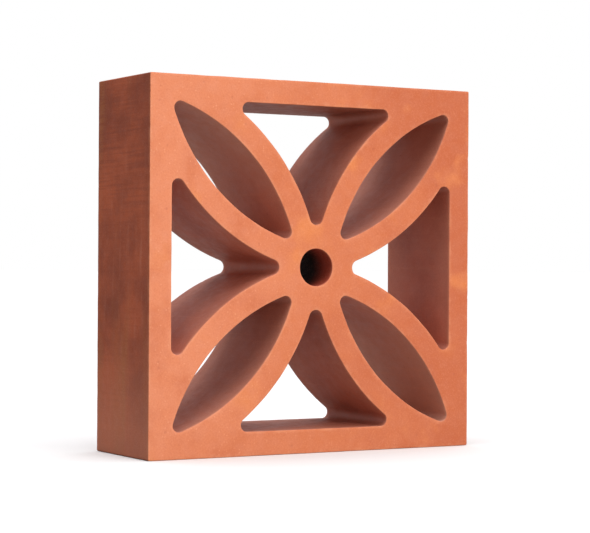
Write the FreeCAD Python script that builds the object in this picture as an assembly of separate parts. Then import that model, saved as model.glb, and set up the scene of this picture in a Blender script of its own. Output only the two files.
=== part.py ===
"""Fired clay jali block: a square screen block with one pattern pressed straight through its depth.

The block is one piece of terracotta. Its face carries a round hole in the middle, four petals along the
diagonals and, between each two petals, a three-sided opening whose long side runs beside an outer face.
Every opening is straight from front to back, and every clay wall follows the opening beside it.

Frame: millimetres, +Z up, X across the face, Y through the depth. The front face looks along -Y.
The origin is the middle of the foot of the block, on the surface that it stands on.
"""

import FreeCAD
import Part

import math
import os

# Driving dimensions, in millimetres
FACE = 200.0  # width and height of the block
DEPTH = 63.5  # front face to back face
BORDER_WALL = 13.0  # clay between a side opening's straight side and the outer face beside it
RIB = 13.0  # clay between a petal and the side opening beside it
HOLE_DIAMETER = 20.2  # the round hole in the middle
HUB_WALL = 13.1  # clay between the round hole and a petal's inner end
PETAL_WIDTH = 27.7  # a petal at its widest
PETAL_MARGIN = 14.2  # clay between a petal's outer end and the two outer faces beside it
PETAL_END_RADIUS = 3.5  # rounding of both ends of a petal
TIP_RADIUS = 4.0  # rounding of a side opening's corner beside the hub
CORNER_RADIUS = 3.6  # rounding of a side opening's two outer corners
ARRIS_RADIUS = 0.8  # softened outer edges and mouths of the openings

# The pattern repeats at each quarter turn: petals on the diagonals, side openings on the axes.
REPEATS = 4
QUARTER_TURN = 90.0
DIAGONAL = 45.0


def face_point(along, across, turn):
    """A point on the front plane: its place along and across an axis that leaves the centre at turn degrees."""
    angle = math.radians(turn)
    x = along * math.cos(angle) - across * math.sin(angle)
    z = along * math.sin(angle) + across * math.cos(angle)
    return FreeCAD.Vector(x, -DEPTH / 2, z + FACE / 2)


def beyond(start, through, distance):
    """The point at a distance from start, on the line from start through another point."""
    direction = FreeCAD.Vector(through - start)
    direction.normalize()
    return start + direction * distance


def arc_about(centre, radius, start, end):
    """The shorter arc of a circle from start to end."""
    middle = beyond(centre, (start + end) * 0.5, radius)
    return Part.Arc(start, middle, end).toShape()


# A petal lies along a diagonal. Each of its long sides is one arc, tangent inside to both end rounds.
petal_inner = HOLE_DIAMETER / 2 + HUB_WALL + PETAL_END_RADIUS
petal_outer = math.sqrt(2) * (FACE / 2 - PETAL_MARGIN - PETAL_END_RADIUS)
petal_middle = (petal_inner + petal_outer) / 2
petal_half_length = (petal_outer - petal_inner) / 2
petal_half_width = PETAL_WIDTH / 2
petal_side_radius = (petal_half_length**2 + petal_half_width**2 - PETAL_END_RADIUS**2) / (
    2 * (petal_half_width - PETAL_END_RADIUS)
)
petal_side_offset = petal_side_radius - petal_half_width

# A side opening's curved sides share their centres with the near sides of the petals beside it.
rib_far_radius = petal_side_radius + RIB


def petal(turn):
    """The outline of the petal on the diagonal at turn degrees."""
    inner = face_point(petal_inner, 0, turn)
    outer = face_point(petal_outer, 0, turn)
    inner_end = face_point(petal_inner - PETAL_END_RADIUS, 0, turn)
    outer_end = face_point(petal_outer + PETAL_END_RADIUS, 0, turn)
    sides = []
    for hand in (1, -1):
        centre = face_point(petal_middle, -hand * petal_side_offset, turn)
        start = beyond(centre, inner, petal_side_radius)
        end = beyond(centre, outer, petal_side_radius)
        sides.append((arc_about(centre, petal_side_radius, start, end), start, end))
    (left, left_start, left_end), (right, right_start, right_end) = sides
    inner_round = Part.Arc(left_start, inner_end, right_start).toShape()
    outer_round = Part.Arc(left_end, outer_end, right_end).toShape()
    return Part.Wire(Part.__sortEdges__([inner_round, left, outer_round, right]))


def side_opening(turn):
    """The outline of the three-sided opening on the axis at turn degrees."""
    straight_side = FACE / 2 - BORDER_WALL
    rib_along = (petal_middle - petal_side_offset) / math.sqrt(2)
    rib_across = (petal_middle + petal_side_offset) / math.sqrt(2)
    tip_along = rib_along + math.sqrt((rib_far_radius + TIP_RADIUS) ** 2 - rib_across**2)
    corner_along = straight_side - CORNER_RADIUS
    corner_across = rib_across - math.sqrt(
        (rib_far_radius + CORNER_RADIUS) ** 2 - (corner_along - rib_along) ** 2
    )
    tip = face_point(tip_along, 0, turn)
    edges = []
    tip_ends = []
    straight_ends = []
    for hand in (1, -1):
        centre = face_point(rib_along, hand * rib_across, turn)
        corner = face_point(corner_along, hand * corner_across, turn)
        start = beyond(centre, tip, rib_far_radius)
        end = beyond(centre, corner, rib_far_radius)
        straight_end = face_point(straight_side, hand * corner_across, turn)
        edges.append(arc_about(centre, rib_far_radius, start, end))
        edges.append(arc_about(corner, CORNER_RADIUS, end, straight_end))
        tip_ends.append(start)
        straight_ends.append(straight_end)
    tip_end = face_point(tip_along - TIP_RADIUS, 0, turn)
    edges.append(Part.Arc(tip_ends[0], tip_end, tip_ends[1]).toShape())
    edges.append(Part.LineSegment(*straight_ends).toShape())
    return Part.Wire(Part.__sortEdges__(edges))


def hole():
    """The outline of the round hole in the middle."""
    return Part.Wire(Part.makeCircle(HOLE_DIAMETER / 2, face_point(0, 0, 0), FreeCAD.Vector(0, 1, 0)))


def through(outline):
    """A plug of the opening's shape, as deep as the block."""
    return Part.Face(outline).extrude(FreeCAD.Vector(0, DEPTH, 0))


def openings():
    """Every opening in the face, as plugs."""
    outlines = [hole()]
    for quarter in range(REPEATS):
        outlines.append(petal(DIAGONAL + quarter * QUARTER_TURN))
        outlines.append(side_opening(quarter * QUARTER_TURN))
    return [through(outline) for outline in outlines]


def softened(block):
    """The block with rounded outer edges and rounded mouths to its openings."""
    edges = []
    for edge in block.Edges:
        box = edge.BoundBox
        lies_in_a_face = box.YLength < ARRIS_RADIUS
        outer_corner = abs(abs(box.Center.x) - FACE / 2) < ARRIS_RADIUS and (
            abs(abs(box.Center.z - FACE / 2) - FACE / 2) < ARRIS_RADIUS
        )
        if lies_in_a_face or outer_corner:
            edges.append(edge)
    return block.makeFillet(ARRIS_RADIUS, edges)


def jali_block():
    """The whole block, as one solid."""
    block = Part.makeBox(FACE, DEPTH, FACE, FreeCAD.Vector(-FACE / 2, -DEPTH / 2, 0))
    return softened(block.cut(openings()))


os.makedirs("parts", exist_ok=True)
solid = jali_block()
solid.exportStep("parts/jali_block.step")
print("jali_block: valid", solid.isValid(), "solids", len(solid.Solids), "faces", len(solid.Faces))
print("volume %.0f mm3" % solid.Volume, "petal side radius %.2f" % petal_side_radius)
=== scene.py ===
"""The looks of a fired clay jali block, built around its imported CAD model.

The CAD node is replaced by one finer mesh of the same shape: dense faces, openings and arrises, with the
relief of pressed and fired clay worked into them. Every length is in metres, in the frame's own axes:
X across the face, Y through the depth with the front face looking along -Y, and Z up from the floor.
"""

import math

import bpy
import numpy as np
from mathutils import Matrix, Vector, geometry, noise
from mathutils.bvhtree import BVHTree
from mathutils.kdtree import KDTree


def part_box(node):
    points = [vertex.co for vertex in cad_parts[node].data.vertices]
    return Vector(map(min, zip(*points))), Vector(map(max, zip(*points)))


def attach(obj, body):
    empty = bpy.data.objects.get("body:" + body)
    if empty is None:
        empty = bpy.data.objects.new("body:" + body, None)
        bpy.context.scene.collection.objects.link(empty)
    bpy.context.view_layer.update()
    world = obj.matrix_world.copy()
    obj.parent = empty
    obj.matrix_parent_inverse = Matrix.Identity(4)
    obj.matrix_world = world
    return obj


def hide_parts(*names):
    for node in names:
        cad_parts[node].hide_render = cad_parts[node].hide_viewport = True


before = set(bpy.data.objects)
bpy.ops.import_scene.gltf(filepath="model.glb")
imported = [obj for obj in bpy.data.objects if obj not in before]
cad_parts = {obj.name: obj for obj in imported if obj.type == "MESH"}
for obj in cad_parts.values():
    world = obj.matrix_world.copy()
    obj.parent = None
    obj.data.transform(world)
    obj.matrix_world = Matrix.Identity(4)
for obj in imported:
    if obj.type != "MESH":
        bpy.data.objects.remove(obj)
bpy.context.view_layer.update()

MM = 0.001
NODE = "jali_block"
SEED = 11

# The block's overall size, from the frame
low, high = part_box(NODE)
FACE = high.x - low.x
DEPTH = high.y - low.y
MIDDLE = (low + high) / 2

# The pattern of openings, as the part has it: the openings lie between walls of nearly one thickness
HOLE_RADIUS = 10.1 * MM
BORDER_WALL = 13.0 * MM
RIB = 13.0 * MM
HUB_WALL = 13.1 * MM
PETAL_WIDTH = 27.7 * MM
PETAL_MARGIN = 14.2 * MM
PETAL_END_RADIUS = 3.5 * MM
TIP_RADIUS = 4.0 * MM
CORNER_RADIUS = 3.6 * MM
ARRIS = 0.45 * MM
OUTER_CORNER = 0.9 * MM  # the block's four long edges, worn a little rounder than the rest
OUTLINE_TOLERANCE = 0.12 * MM  # how far an outline may lie from the frame's own walls
CHECK_EVERY = 5  # every fifth point of an outline is checked

# Mesh spacing
OUTLINE_STEP = 1.3 * MM
ROUND_STEPS = 0.24  # on a small round, the step as a share of its radius
DEPTH_STEP = 2.4 * MM
FACE_STEP = 1.45 * MM
FACE_SCATTER = 0.12  # how far a point of the face strays from its even grid, as a share of the step
EDGE_CLEARANCE = 0.62  # how near to an edge it may lie, as a share of the step
ARRIS_STEPS = 3
MERGE_DISTANCE = 1e-7  # points nearer than this would be one point of the face

# Relief of the fired clay: sizes of its hills and how deep they go
UNEVEN_SIZE, UNEVEN_DEPTH = 34 * MM, 0.12 * MM
RIPPLE_SIZE, RIPPLE_DEPTH = 9 * MM, 0.04 * MM
DRAG_WIDTH, DRAG_LENGTH, DRAG_DEPTH = 3.4 * MM, 90 * MM, 0.05 * MM  # lines drawn along the depth
WEAR_SIZE, WEAR_DEPTH = 11 * MM, 0.14 * MM  # arrises rubbed back here and there
WEAR_GAIN, WEAR_START = 2.4, 1.0  # how sharply the rubbed places set in
CHIP_COUNT, CHIP_RADIUS = 16, (1.0 * MM, 1.8 * MM)
CHIP_SHARE = 0.1  # a chip's depth as a share of its radius
LAYER_SHIFT = 17.3  # keeps the layers of noise apart


# ---------------------------------------------------------------- outlines, as points in the face's plane


def arc(centre, radius, start, end):
    """Points along a circle from angle start towards angle end, without the last one."""
    step = min(OUTLINE_STEP, ROUND_STEPS * radius)
    count = max(3, math.ceil(abs(end - start) * radius / step))
    angles = start + (end - start) * np.arange(count) / count
    return np.array(centre) + radius * np.stack([np.cos(angles), np.sin(angles)], 1)


def line(start, end):
    """Points along a straight side, without the last one."""
    start, end = np.array(start), np.array(end)
    count = max(2, math.ceil(np.linalg.norm(end - start) / OUTLINE_STEP))
    return start + (end - start) * (np.arange(count) / count)[:, None]


def turned(points, angle):
    """Points turned about the middle of the face."""
    c, s = math.cos(angle), math.sin(angle)
    return points @ np.array([[c, s], [-s, c]])


PETAL_INNER = HOLE_RADIUS + HUB_WALL + PETAL_END_RADIUS
PETAL_OUTER = math.sqrt(2) * (FACE / 2 - PETAL_MARGIN - PETAL_END_RADIUS)
PETAL_MIDDLE = (PETAL_INNER + PETAL_OUTER) / 2
PETAL_HALF_LENGTH = (PETAL_OUTER - PETAL_INNER) / 2
PETAL_SIDE_RADIUS = (PETAL_HALF_LENGTH**2 + (PETAL_WIDTH / 2) ** 2 - PETAL_END_RADIUS**2) / (
    PETAL_WIDTH - 2 * PETAL_END_RADIUS
)
PETAL_SIDE_OFFSET = PETAL_SIDE_RADIUS - PETAL_WIDTH / 2


def petal():
    """The petal along +X, anticlockwise: outer end, far side, inner end, near side."""
    lean = math.atan2(PETAL_SIDE_OFFSET, PETAL_HALF_LENGTH)
    far, near = (PETAL_MIDDLE, -PETAL_SIDE_OFFSET), (PETAL_MIDDLE, PETAL_SIDE_OFFSET)
    return np.concatenate([
        arc((PETAL_OUTER, 0), PETAL_END_RADIUS, -lean, lean),
        arc(far, PETAL_SIDE_RADIUS, lean, math.pi - lean),
        arc((PETAL_INNER, 0), PETAL_END_RADIUS, math.pi - lean, math.pi + lean),
        arc(near, PETAL_SIDE_RADIUS, math.pi + lean, 2 * math.pi - lean),
    ])


def side_opening():
    """The three-sided opening on +X, anticlockwise from the lower end of its straight side."""
    straight = FACE / 2 - BORDER_WALL
    reach = PETAL_SIDE_RADIUS + RIB
    along = (PETAL_MIDDLE - PETAL_SIDE_OFFSET) / math.sqrt(2)
    across = (PETAL_MIDDLE + PETAL_SIDE_OFFSET) / math.sqrt(2)
    tip = along + math.sqrt((reach + TIP_RADIUS) ** 2 - across**2)
    corner = straight - CORNER_RADIUS
    corner_across = across - math.sqrt((reach + CORNER_RADIUS) ** 2 - (corner - along) ** 2)
    to_corner = math.atan2(across - corner_across, corner - along)  # below the axis, seen from a rib's centre
    to_tip = math.atan2(across, tip - along)
    return np.concatenate([
        line((straight, -corner_across), (straight, corner_across)),
        arc((corner, corner_across), CORNER_RADIUS, 0, math.pi - to_corner),
        arc((along, across), reach, -to_corner, -to_tip),
        arc((tip, 0), TIP_RADIUS, math.pi - to_tip, math.pi + to_tip),
        arc((along, -across), reach, to_tip, to_corner),
        arc((corner, -corner_across), CORNER_RADIUS, math.pi + to_corner, 2 * math.pi),
    ])


def outer_outline():
    """The square outline of the block, anticlockwise, with rounded corners."""
    half = FACE / 2
    inner = half - OUTER_CORNER
    side = [line((half, -inner), (half, inner)), arc((inner, inner), OUTER_CORNER, 0, math.pi / 2)]
    return np.concatenate([turned(points, k * math.pi / 2) for k in range(4) for points in side])


OUTER_OUTLINE, HOLE_OUTLINE = 0, 1  # their places among all outlines; then petals on even places


def all_outlines():
    """The outer outline, the round hole's, and then by turns a petal's and a side opening's."""
    found = [outer_outline(), arc((0, 0), HOLE_RADIUS, 0, 2 * math.pi)]
    for k in range(4):
        found.append(turned(petal(), math.pi / 4 + k * math.pi / 2))
        found.append(turned(side_opening(), k * math.pi / 2))
    return found


def into_clay(points, outer):
    """For each point of an outline, the direction square to it that points into the clay."""
    along = np.roll(points, -1, 0) - np.roll(points, 1, 0)
    along /= np.linalg.norm(along, axis=1)[:, None]
    outward = np.stack([along[:, 1], -along[:, 0]], 1)
    return -outward if outer else outward


def check_outlines(outlines):
    """Stops the script if the pattern isn't the frame's: each outline lies on the CAD node's walls."""
    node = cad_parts[NODE].data
    tree = BVHTree.FromPolygons([v.co for v in node.vertices], [p.vertices for p in node.polygons])
    for outline in outlines:
        for x, z in outline[::CHECK_EVERY]:
            gap = tree.find_nearest(Vector((x, 0, z)) + MIDDLE)[3]
            if gap > OUTLINE_TOLERANCE:
                raise ValueError(f"the pattern is {gap / MM:.2f} mm off the frame's walls")


# ---------------------------------------------------------------- the mesh


def sections():
    """The rings from the front face to the back one, each as (offset into the clay, place in the depth)."""
    quarter = [math.radians(90 * i / ARRIS_STEPS) for i in range(ARRIS_STEPS + 1)]
    front = [(ARRIS * (1 - math.sin(t)), ARRIS * (1 - math.cos(t))) for t in quarter]
    straight = DEPTH - 2 * ARRIS
    rows = math.ceil(straight / DEPTH_STEP)
    wall = [(0.0, ARRIS + straight * i / rows) for i in range(1, rows)]
    back = [(offset, DEPTH - place) for offset, place in reversed(front)]
    return front + wall + back


def clay_points(outlines, edge_points):
    """Points spread evenly over the clay of the face, clear of its edges."""
    half = FACE / 2
    row_step = FACE_STEP * math.sqrt(3) / 2
    rows = int(2 * half / row_step)
    spread = np.random.default_rng(SEED)
    grid = []
    for row in range(rows + 1):
        x = np.arange(-half, half, FACE_STEP) + (row % 2) * FACE_STEP / 2
        grid.append(np.stack([x, np.full_like(x, -half + row * row_step)], 1))
    grid = np.concatenate(grid)
    grid += spread.uniform(-FACE_SCATTER, FACE_SCATTER, grid.shape) * FACE_STEP
    inside = within(grid, outlines[0])
    for outline in outlines[1:]:
        inside &= ~within(grid, outline)
    tree = KDTree(len(edge_points))
    for i, (x, z) in enumerate(edge_points):
        tree.insert((x, z, 0), i)
    tree.balance()
    clear = np.array([tree.find((x, z, 0))[2] > EDGE_CLEARANCE * FACE_STEP for x, z in grid[inside]])
    return grid[inside][clear]


def within(points, outline):
    """Whether each point lies inside a closed outline, by counting crossings."""
    inside = np.zeros(len(points), bool)
    x, z = points.T
    for (x0, z0), (x1, z1) in zip(outline, np.roll(outline, -1, 0)):
        if z0 != z1:
            crosses = ((z0 > z) != (z1 > z)) & (x < (x1 - x0) * (z - z0) / (z1 - z0) + x0)
            inside ^= crosses
    return inside


def face_triangles(edge_loops):
    """The clay of the face, over the edge loops' points and evenly spread ones: (points, triangles)."""
    edge_points = np.concatenate(edge_loops)
    inner_points = clay_points(edge_loops, edge_points)
    edges, first = [], 0
    for loop in edge_loops:
        count = len(loop)
        edges += [(first + i, first + (i + 1) % count) for i in range(count)]
        first += count
    points = np.concatenate([edge_points, inner_points])
    with_holes = 2  # the kind of result that leaves the holes open
    flat = [Vector(p) for p in points]
    made = geometry.delaunay_2d_cdt(flat, edges, [], with_holes, MERGE_DISTANCE)
    verts, faces = np.array([tuple(v) for v in made[0]]), np.array([tuple(f) for f in made[2]])
    if len(verts) != len(points):
        raise ValueError("the face's edge loops touch each other")
    middles = verts[faces].mean(1)
    clay = within(middles, edge_loops[0])
    for loop in edge_loops[1:]:
        clay &= ~within(middles, loop)
    return points, faces[clay]


def surface_shares(outline, place):
    """How far a ring of an outline lies on each kind of surface, from its place through the depth."""
    from_end = min(place, DEPTH - place)
    wall = min(1.0, from_end / ARRIS)
    is_petal = outline > HOLE_OUTLINE and outline % 2 == 0
    return {
        "rim": float(from_end <= ARRIS),
        "side": wall * (outline == OUTER_OUTLINE),
        "opening": wall * (outline > OUTER_OUTLINE),
        "petal": wall * is_petal,
        "bore": wall * (outline == HOLE_OUTLINE),
    }


def wall_quads(first, count, ring_count, outer):
    """The quads between the rings of one outline, whose points start at an index."""
    here = np.arange(count)
    ahead = (here + 1) % count
    quads = []
    for r in range(ring_count - 1):
        a, b = first + r * count, first + (r + 1) * count
        ring = np.stack([a + here, b + here, b + ahead, a + ahead], 1)
        quads += (ring if outer else ring[:, ::-1]).tolist()
    return quads


def block_mesh():
    """The block before its relief: (points, faces, how far each point lies on each kind of surface)."""
    outlines = all_outlines()
    check_outlines(outlines)
    directions = [into_clay(o, outer=(k == OUTER_OUTLINE)) for k, o in enumerate(outlines)]
    rings = sections()
    points, faces = [], []
    where = {"rim": [], "side": [], "opening": [], "petal": [], "bore": []}
    ring_starts = []  # for each outline, the index of the first point of its first ring
    total = 0
    for k, (outline, direction) in enumerate(zip(outlines, directions)):
        count = len(outline)
        ring_starts.append(total)
        for offset, place in rings:
            flat = outline + direction * offset
            points.append(np.stack([flat[:, 0], np.full(count, place - DEPTH / 2), flat[:, 1]], 1))
            for name, share in surface_shares(k, place).items():
                where[name].append(np.full(count, share))
        faces += wall_quads(total, count, len(rings), outer=(k == OUTER_OUTLINE))
        total += count * len(rings)

    edge_loops = [o + d * rings[0][0] for o, d in zip(outlines, directions)]
    face_points, triangles = face_triangles(edge_loops)
    inner = face_points[sum(len(loop) for loop in edge_loops):]
    for y, last_ring, order in ((-DEPTH / 2, 0, 1), (DEPTH / 2, len(rings) - 1, -1)):
        index = []
        for start, loop in zip(ring_starts, edge_loops):
            index.append(start + last_ring * len(loop) + np.arange(len(loop)))
        index.append(total + np.arange(len(inner)))
        index = np.concatenate(index)
        points.append(np.stack([inner[:, 0], np.full(len(inner), y), inner[:, 1]], 1))
        for shares in where.values():
            shares.append(np.zeros(len(inner)))
        total += len(inner)
        faces += index[triangles][:, ::order].tolist()
    points = np.concatenate(points) + np.array(MIDDLE)
    return points, faces, {name: np.concatenate(shares) for name, shares in where.items()}


def rolling(points, size, layer):
    """Smooth noise from 0 to 1 at each point; the size of its hills is one number, or one for each axis."""
    scaled = points / np.array(size) + LAYER_SHIFT * layer
    return np.clip([0.5 + 0.5 * noise.noise(Vector(p)) for p in scaled], 0, 1)


def relief(points, where):
    """How far the clay lies back from its nominal surface at each point.

    Outside it is never proud of that surface. In the openings it lies evenly to both sides of it.
    """
    depth = UNEVEN_DEPTH * rolling(points, UNEVEN_SIZE, 1)
    depth += RIPPLE_DEPTH * rolling(points, RIPPLE_SIZE, 2)
    walls = where["side"] + where["opening"]
    depth += DRAG_DEPTH * walls * rolling(points, (DRAG_WIDTH, DRAG_LENGTH, DRAG_WIDTH), 3)
    depth -= where["opening"] * (UNEVEN_DEPTH + RIPPLE_DEPTH + DRAG_DEPTH) / 2
    worn = np.clip(WEAR_GAIN * rolling(points, WEAR_SIZE, 4) - WEAR_START, 0, 1)
    depth += WEAR_DEPTH * where["rim"] * worn
    spots = np.flatnonzero(where["rim"] > 0)
    draw = np.random.default_rng(SEED)
    for spot in draw.choice(spots, CHIP_COUNT, replace=False):
        radius = draw.uniform(*CHIP_RADIUS)
        away = np.linalg.norm(points - points[spot], axis=1)
        depth += CHIP_SHARE * radius * np.clip(1 - (away / radius) ** 2, 0, 1)
    return depth


def build_block():
    """The fired block as an object, with the kinds of surface as attributes of its points."""
    points, faces, where = block_mesh()
    mesh = bpy.data.meshes.new("fired_block")
    mesh.from_pydata(points.tolist(), [], faces)
    mesh.shade_smooth()
    normals = np.zeros(len(points) * 3, np.float32)
    mesh.vertex_normals.foreach_get("vector", normals)
    points -= normals.reshape(-1, 3) * relief(points, where)[:, None]
    mesh.vertices.foreach_set("co", points.astype(np.float32).ravel())
    mesh.update()
    for name, shares in where.items():
        mesh.attributes.new(name, "FLOAT", "POINT").data.foreach_set("value", shares.astype(np.float32))
    block = bpy.data.objects.new("fired_block", mesh)
    bpy.context.scene.collection.objects.link(block)
    return block


# ---------------------------------------------------------------- camera, light and floor

VIEW_AZIMUTH = math.radians(-30.1)  # round the block from its front towards its left side
VIEW_DISTANCE = 1.0685
VIEW_ASIDE = 0.0045  # the camera aims this far to the right of the block's middle
VIEW_HEIGHT = 0.00045  # it stands and aims this far above the block's middle
VIEW_ROLL = math.radians(0.34)
SENSOR_WIDTH = 36.0
LENS = 117.9
CLIP_NEAR, CLIP_FAR = 0.01, 100.0

SOFTBOX_PLACE = (0.4, -2.0, 0.4)
SOFTBOX_SIZE = 1.2
SOFTBOX_POWER = 42.0
SOFTBOX_COLOUR = (1, 0.97, 0.93)
OVERHEAD_STRENGTH = 3.0
OVERHEAD_SPREAD = math.radians(80)
FLOOR_HALF_SIZE = 30.0
FLOOR_LIT, FLOOR_SEEN = (0.30, 0.29, 0.28), (0.80, 0.80, 0.80)  # as it lights the block, and as it is seen
ROOM_LIT, ROOM_SEEN = (0.41, 0.41, 0.43), (1, 1, 1)


def make_camera():
    """The camera at the photo's viewing angle."""
    data = bpy.data.cameras.new("camera")
    data.sensor_width, data.lens = SENSOR_WIDTH, LENS
    data.clip_start, data.clip_end = CLIP_NEAR, CLIP_FAR
    camera = bpy.data.objects.new("camera", data)
    back = Vector((math.sin(VIEW_AZIMUTH), -math.cos(VIEW_AZIMUTH), 0))
    rise = Vector((0, 0, VIEW_HEIGHT))
    place = MIDDLE + back * VIEW_DISTANCE + rise
    right = Vector((math.cos(VIEW_AZIMUTH), math.sin(VIEW_AZIMUTH), 0))
    aim = MIDDLE + right * VIEW_ASIDE + rise
    turn = (aim - place).to_track_quat("-Z", "Y").to_matrix()
    turn = turn @ Matrix.Rotation(VIEW_ROLL, 3, "Z")
    camera.matrix_world = Matrix.Translation(place) @ turn.to_4x4()
    bpy.context.scene.collection.objects.link(camera)
    bpy.context.scene.camera = camera


def make_lights():
    """A large soft light in front of the block, and a very soft one overhead."""
    data = bpy.data.lights.new("front_softbox", "AREA")
    data.shape, data.size, data.energy, data.color = "SQUARE", SOFTBOX_SIZE, SOFTBOX_POWER, SOFTBOX_COLOUR
    softbox = bpy.data.objects.new("front_softbox", data)
    place = Vector(SOFTBOX_PLACE)
    turn = (MIDDLE - place).to_track_quat("-Z", "Y").to_matrix()
    softbox.matrix_world = Matrix.Translation(place) @ turn.to_4x4()
    bpy.context.scene.collection.objects.link(softbox)
    sun = bpy.data.lights.new("overhead", "SUN")
    sun.energy, sun.angle = OVERHEAD_STRENGTH, OVERHEAD_SPREAD
    bpy.context.scene.collection.objects.link(bpy.data.objects.new("overhead", sun))


def tone_by_ray(tree, socket, lit, seen):
    """Gives a studio surface one tone for the light it sends to the block, and one for the camera."""
    path = tree.nodes.new("ShaderNodeLightPath")
    tone = tree.nodes.new("ShaderNodeMix")
    tone.data_type = "RGBA"
    tone.inputs["A"].default_value = (*lit, 1)
    tone.inputs["B"].default_value = (*seen, 1)
    tree.links.new(path.outputs["Is Camera Ray"], tone.inputs["Factor"])
    tree.links.new(tone.outputs["Result"], socket)


def make_floor():
    """A pale level floor, which the block stands on."""
    mesh = bpy.data.meshes.new("floor")
    h = FLOOR_HALF_SIZE
    mesh.from_pydata([(-h, -h, 0), (h, -h, 0), (h, h, 0), (-h, h, 0)], [], [(0, 1, 2, 3)])
    floor = bpy.data.objects.new("floor", mesh)
    floor.location.z = low.z
    bpy.context.scene.collection.objects.link(floor)
    paint = bpy.data.materials.new("floor_paint")
    paint.use_nodes = True
    shader = paint.node_tree.nodes["Principled BSDF"]
    shader.inputs["Roughness"].default_value = 0.9
    shader.inputs["Specular IOR Level"].default_value = 0.1
    tone_by_ray(paint.node_tree, shader.inputs["Base Color"], FLOOR_LIT, FLOOR_SEEN)
    mesh.materials.append(paint)


def make_room():
    """The pale room all round."""
    world = bpy.data.worlds.new("studio")
    bpy.context.scene.world = world
    world.use_nodes = True
    glow = world.node_tree.nodes["Background"]
    tone_by_ray(world.node_tree, glow.inputs["Color"], ROOM_LIT, ROOM_SEEN)


# ---------------------------------------------------------------- material


class Nodes:
    """A material's node tree, with short ways to add nodes and join them."""

    def __init__(self, name):
        self.material = bpy.data.materials.new(name)
        self.material.use_nodes = True
        self.tree = self.material.node_tree
        self.shader = self.tree.nodes["Principled BSDF"]
        self.place = self.add("TexCoord").outputs["Object"]
        split = self.add("SeparateXYZ")
        self.put(split.inputs[0], self.place)
        self.x, self.y, self.z = (split.outputs[axis] for axis in "XYZ")

    def add(self, kind, **settings):
        node = self.tree.nodes.new("ShaderNode" + kind)
        for name, value in settings.items():
            setattr(node, name, value)
        return node

    def put(self, socket, value):
        """Joins a socket to an output, or sets it to a value."""
        if isinstance(value, bpy.types.NodeSocket):
            self.tree.links.new(value, socket)
        else:
            socket.default_value = value

    def stretched(self, factors):
        """The place with its axes scaled: a small factor draws a pattern out along its axis."""
        node = self.add("Mapping")
        self.put(node.inputs["Vector"], self.place)
        node.inputs["Scale"].default_value = factors
        return node.outputs["Vector"]

    def clouds(self, size, detail=2.0, roughness=0.5, along=None, seed=0.0):
        """Noise from 0 to 1 with clouds of about a size in metres."""
        node = self.add("TexNoise", noise_dimensions="4D")
        self.put(node.inputs["Vector"], along or self.place)
        for name, value in (("Scale", 1 / size), ("Detail", detail), ("Roughness", roughness), ("W", seed)):
            node.inputs[name].default_value = value
        return node.outputs["Fac"]

    def grains(self, size, shifted_by=(0, 0, 0)):
        """Cells of about a size: (distance to a cell's middle, in sizes, and the cell's random number)."""
        shift = self.add("Mapping")
        self.put(shift.inputs["Vector"], self.place)
        shift.inputs["Location"].default_value = shifted_by
        node = self.add("TexVoronoi")
        self.put(node.inputs["Vector"], shift.outputs["Vector"])
        node.inputs["Scale"].default_value = 1 / size
        split = self.add("SeparateColor")
        self.put(split.inputs[0], node.outputs["Color"])
        return node.outputs["Distance"], split.outputs[0]

    def fit(self, value, low, high, to_low=0.0, to_high=1.0):
        """A value's range from low to high, brought smoothly to another range."""
        node = self.add("MapRange", interpolation_type="SMOOTHSTEP")
        names = ("Value", "From Min", "From Max", "To Min", "To Max")
        for name, item in zip(names, (value, low, high, to_low, to_high)):
            self.put(node.inputs[name], item)
        return node.outputs["Result"]

    def calc(self, operation, a, b=0.0):
        """One step of arithmetic on one or two values."""
        node = self.add("Math", operation=operation)
        self.put(node.inputs[0], a)
        self.put(node.inputs[1], b)
        return node.outputs[0]

    def mix(self, factor, a, b):
        """Colour a at factor 0, and colour b at factor 1."""
        node = self.add("Mix", data_type="RGBA")
        self.put(node.inputs["Factor"], factor)
        for name, item in (("A", a), ("B", b)):
            self.put(node.inputs[name], item if isinstance(item, bpy.types.NodeSocket) else (*item, 1))
        return node.outputs["Result"]

    def share(self, name):
        """How far a point lies on one kind of surface, as the mesh says."""
        return self.add("Attribute", attribute_name=name).outputs["Fac"]


# Colours of the clay, some with painted light or shade in them, as scene-linear reflectance
ORANGE = (0.56, 0.150, 0.055)
# Painted sheen, laid on the left of the faces
PALE_PAINTED_SHEEN = (0.64, 0.202, 0.092)
# The clay's deeper tone, also used as painted falloff of light on the right of the faces
DEEP_TONE_AND_SHADE = (0.475, 0.107, 0.035)
YELLOW = (0.66, 0.20, 0.055)
# Pale dust of the clay, also the colour of the painted highlight along the arrises
DUST_AND_HIGHLIGHT = (0.76, 0.33, 0.18)
FLECK = (0.37, 0.08, 0.04)
WALL = (0.60, 0.208, 0.132)
WALL_DARK = (0.47, 0.146, 0.091)
# Painted sheen: the greyish reflection laid on the petals' walls
WALL_PAINTED_SHEEN = (0.575, 0.275, 0.195)
# Painted shade for the level walls and the tip of the top opening
WALL_PAINTED_SHADE = (0.40, 0.120, 0.070)
SIDE = (0.46, 0.088, 0.025)
SIDE_DARK = (0.25, 0.040, 0.011)
SIDE_OLIVE = (0.39, 0.118, 0.030)
# Pale streaks of the sides, also used as painted bounce light from the floor at the bottom
SIDE_PALE_AND_BOUNCE = (0.60, 0.22, 0.13)
BORE_MOUTH = (0.38, 0.054, 0.024)
BORE_DEEP = (0.004, 0.003, 0.003)


# How a pattern is drawn out: along the depth, as the clay was, or upright, as the block was handled
ALONG_DEPTH, ALONG_DEPTH_FINE, UPRIGHT = (1, 0.035, 1), (1, 0.03, 1), (1, 1, 0.12)


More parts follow.
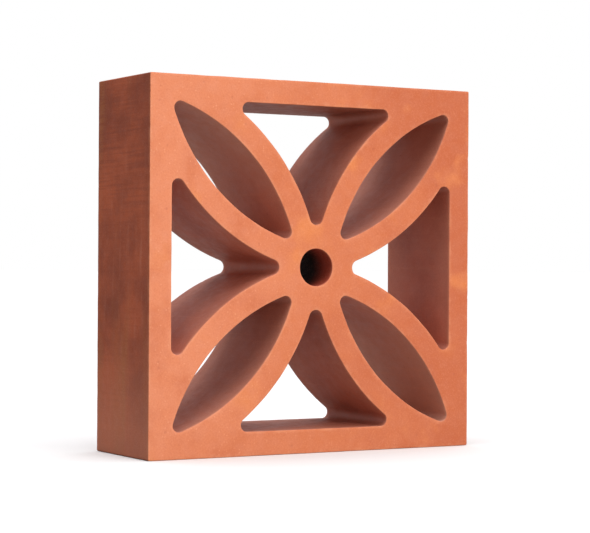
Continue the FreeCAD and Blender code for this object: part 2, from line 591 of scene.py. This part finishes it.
def face_colour(n):
    """The faces: soft clouds of paler and deeper orange, paler towards the left with a painted sheen, and
    deeper towards the right with painted falloff of the light.
    """
    cloudy = n.calc("MULTIPLY", n.calc("SUBTRACT", n.clouds(55 * MM, 4, 0.55), 0.5), 0.2)
    across = n.calc("ADD", n.x, cloudy)
    # Painted light: a sheen on the left, and falloff of the light towards the right
    colour = n.mix(n.fit(across, -0.5 * FACE, 0.05 * FACE), PALE_PAINTED_SHEEN, ORANGE)
    colour = n.mix(n.fit(across, 0.05 * FACE, 0.5 * FACE), colour, DEEP_TONE_AND_SHADE)
    colour = n.mix(n.fit(n.clouds(24 * MM, 3, 0.6, seed=3.1), 0.46, 0.74, 0, 0.5), colour, DEEP_TONE_AND_SHADE)
    return n.mix(n.fit(n.clouds(19 * MM, 2, 0.5, seed=7.7), 0.56, 0.76, 0, 0.7), colour, YELLOW)


def wall_colour(n):
    """The walls of the openings: smooth and brown, with a painted greyish sheen in the petals, and faint
    lines along the depth.

    The walls that lie level and the tip of the top opening are darker with painted shade.
    """
    colour = n.mix(n.fit(n.clouds(30 * MM, 3, seed=1.3), 0.3, 0.7), WALL, WALL_DARK)
    petal = n.share("petal")
    other = n.calc("SUBTRACT", 1, petal)
    # Along the diagonal that falls to the right, 0 at the round hole
    falling = n.calc("ADD", n.calc("SUBTRACT", n.x, n.z), FACE / 2)
    # Painted sheen: the petal walls turn grey away from the hub along this diagonal
    painted_sheen = n.fit(n.calc("ABSOLUTE", falling), 0.2 * FACE, 0.65 * FACE, 0.25, 0.9)
    colour = n.mix(n.calc("MULTIPLY", petal, painted_sheen), colour, WALL_PAINTED_SHEEN)
    rise = n.calc("SUBTRACT", n.z, FACE / 2)
    # Painted shade on the tip of the top opening
    above = n.fit(n.calc("SUBTRACT", rise, n.calc("ABSOLUTE", n.x)), 0, 0.1 * FACE)
    tip = n.calc("MULTIPLY", above, n.fit(rise, 0.35 * FACE, 0.17 * FACE, 0, 0.85))
    colour = n.mix(n.calc("MULTIPLY", tip, other), colour, WALL_PAINTED_SHADE)
    # Painted shade on the level walls at the top and bottom of the pattern
    straight = FACE / 2 - BORDER_WALL
    level = n.fit(n.calc("ABSOLUTE", rise), straight - 3 * MM, straight, 0, 0.9)
    colour = n.mix(n.calc("MULTIPLY", level, other), colour, WALL_PAINTED_SHADE)
    lines = n.clouds(2.2 * MM, 3, 0.6, along=n.stretched(ALONG_DEPTH))
    return n.mix(n.fit(lines, 0.5, 0.75, 0, 0.14), colour, DUST_AND_HIGHLIGHT)


def side_colour(n):
    """The outer sides: brown, with olive and dark smudges, upright streaks and fine lines along the depth.

    They are paler towards the bottom, with pale streaks and painted light bounced up from the floor, and
    darker beside the front face.
    """
    drawn, upright = n.stretched(ALONG_DEPTH), n.stretched(UPRIGHT)
    colour = n.mix(n.fit(n.clouds(38 * MM, 4, 0.6, seed=2.2), 0.35, 0.7), SIDE, SIDE_DARK)
    olive = n.clouds(16 * MM, 3, 0.6, along=upright, seed=5.0)
    colour = n.mix(n.fit(olive, 0.42, 0.7, 0, 0.85), colour, SIDE_OLIVE)
    lines = n.fit(n.clouds(2.0 * MM, 3, 0.65, along=drawn, seed=4.0), 0.42, 0.66)
    stronger = n.fit(n.z, 0.5 * FACE, 0.85 * FACE, 0.2, 0.65)
    colour = n.mix(n.calc("MULTIPLY", lines, stronger), colour, SIDE_DARK)
    colour = n.mix(n.fit(n.y, -0.28 * DEPTH, -0.5 * DEPTH, 0, 0.45), colour, SIDE_DARK)
    pale = n.fit(n.clouds(5 * MM, 3, 0.6, along=upright, seed=12.0), 0.52, 0.8, 0, 0.35)
    colour = n.mix(n.calc("MULTIPLY", pale, n.fit(n.z, 0.9 * FACE, 0.6 * FACE)), colour, SIDE_PALE_AND_BOUNCE)
    # Painted bounce light from the floor, paler towards the bottom
    return n.mix(n.fit(n.z, 0.35 * FACE, 0, 0, 0.5), colour, SIDE_PALE_AND_BOUNCE)


def bore_colour(n):
    """The round hole: dark red at its mouths, and black further in, where little light comes."""
    inward = n.calc("SUBTRACT", DEPTH / 2, n.calc("ABSOLUTE", n.y))
    return n.mix(n.fit(inward, 6 * MM, 22 * MM), BORE_MOUTH, BORE_DEEP)


def speckled(n, colour, rim, sand, flecks):
    """A colour with pale grains, flecks, fine sand and paler arrises, partly wear and partly a painted
    highlight; the grains are thicker to the left.
    """
    near, chance = n.grains(1.5 * MM)
    dust = n.calc("MULTIPLY", n.fit(near, 0.42, 0.12), n.fit(chance, 0.72, 0.95))
    sandy = n.fit(n.x, -0.5 * FACE, 0.3 * FACE, 0.4, 0.12)
    colour = n.mix(n.calc("MULTIPLY", dust, sandy), colour, DUST_AND_HIGHLIGHT)
    colour = n.mix(n.calc("MULTIPLY", flecks, 0.25), colour, FLECK)
    colour = n.mix(n.fit(sand, 0.45, 0.75, 0, 0.17), colour, DUST_AND_HIGHLIGHT)
    colour = n.mix(n.fit(sand, 0.5, 0.28, 0, 0.16), colour, FLECK)
    # Paler arrises: partly wear, partly a painted highlight on the rounded edges
    worn_and_highlit = n.calc("MULTIPLY", rim, n.fit(n.clouds(7 * MM, 3, seed=6.0), 0.35, 0.7, 0.03, 0.3))
    return n.mix(worn_and_highlit, colour, DUST_AND_HIGHLIGHT)


def add_bump(n, walls, sand, flecks):
    """Fine grain all over, pits at the flecks, and fine lines along the depth on the walls."""
    fine_lines = n.clouds(0.9 * MM, 3, 0.6, along=n.stretched(ALONG_DEPTH_FINE), seed=2.0)
    lines = n.calc("MULTIPLY", fine_lines, walls)
    fine = n.clouds(0.45 * MM, 2, 0.6)
    grain = n.calc("ADD", n.calc("MULTIPLY", sand, 0.6), n.calc("MULTIPLY", fine, 0.3))
    grain = n.calc("SUBTRACT", grain, n.calc("MULTIPLY", flecks, 0.6))
    bump = n.add("Bump")
    bump.inputs["Strength"].default_value = 0.55
    bump.inputs["Distance"].default_value = 0.12 * MM
    n.put(bump.inputs["Height"], n.calc("ADD", grain, n.calc("MULTIPLY", lines, 0.4)))
    n.put(n.shader.inputs["Normal"], bump.outputs["Normal"])


def make_terracotta():
    """The clay, as one material that tells the kinds of surface apart by the mesh's attributes."""
    n = Nodes("fired_clay")
    rim, side, opening, bore = (n.share(name) for name in ("rim", "side", "opening", "bore"))
    colour = n.mix(opening, face_colour(n), wall_colour(n))
    colour = n.mix(side, colour, side_colour(n))
    colour = n.mix(bore, colour, bore_colour(n))
    sand = n.clouds(0.9 * MM, 2, 0.7, seed=9.0)
    near, chance = n.grains(4.2 * MM, shifted_by=(0.3, 0.1, 0.2))
    flecks = n.calc("MULTIPLY", n.fit(near, 0.26, 0.1), n.fit(chance, 0.86, 0.94))
    n.put(n.shader.inputs["Base Color"], speckled(n, colour, rim, sand, flecks))

    rough = n.fit(n.clouds(5 * MM, 3, 0.6, seed=8.0), 0.3, 0.7, 0.66, 0.84)
    smoother = n.calc("MULTIPLY", n.calc("SUBTRACT", opening, bore), 0.22)
    n.put(n.shader.inputs["Roughness"], n.calc("SUBTRACT", rough, smoother))
    n.shader.inputs["Specular IOR Level"].default_value = 0.5
    add_bump(n, n.calc("ADD", side, opening), sand, flecks)
    return n.material


bpy.context.scene.view_settings.view_transform = "Standard"
make_camera()
make_lights()
make_floor()
make_room()
block = build_block()
block.data.materials.append(make_terracotta())
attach(block, "root")
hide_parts(NODE)

triangles = sum(len(p.vertices) - 2 for p in block.data.polygons)
print("block", len(block.data.vertices), "points", triangles, "triangles")
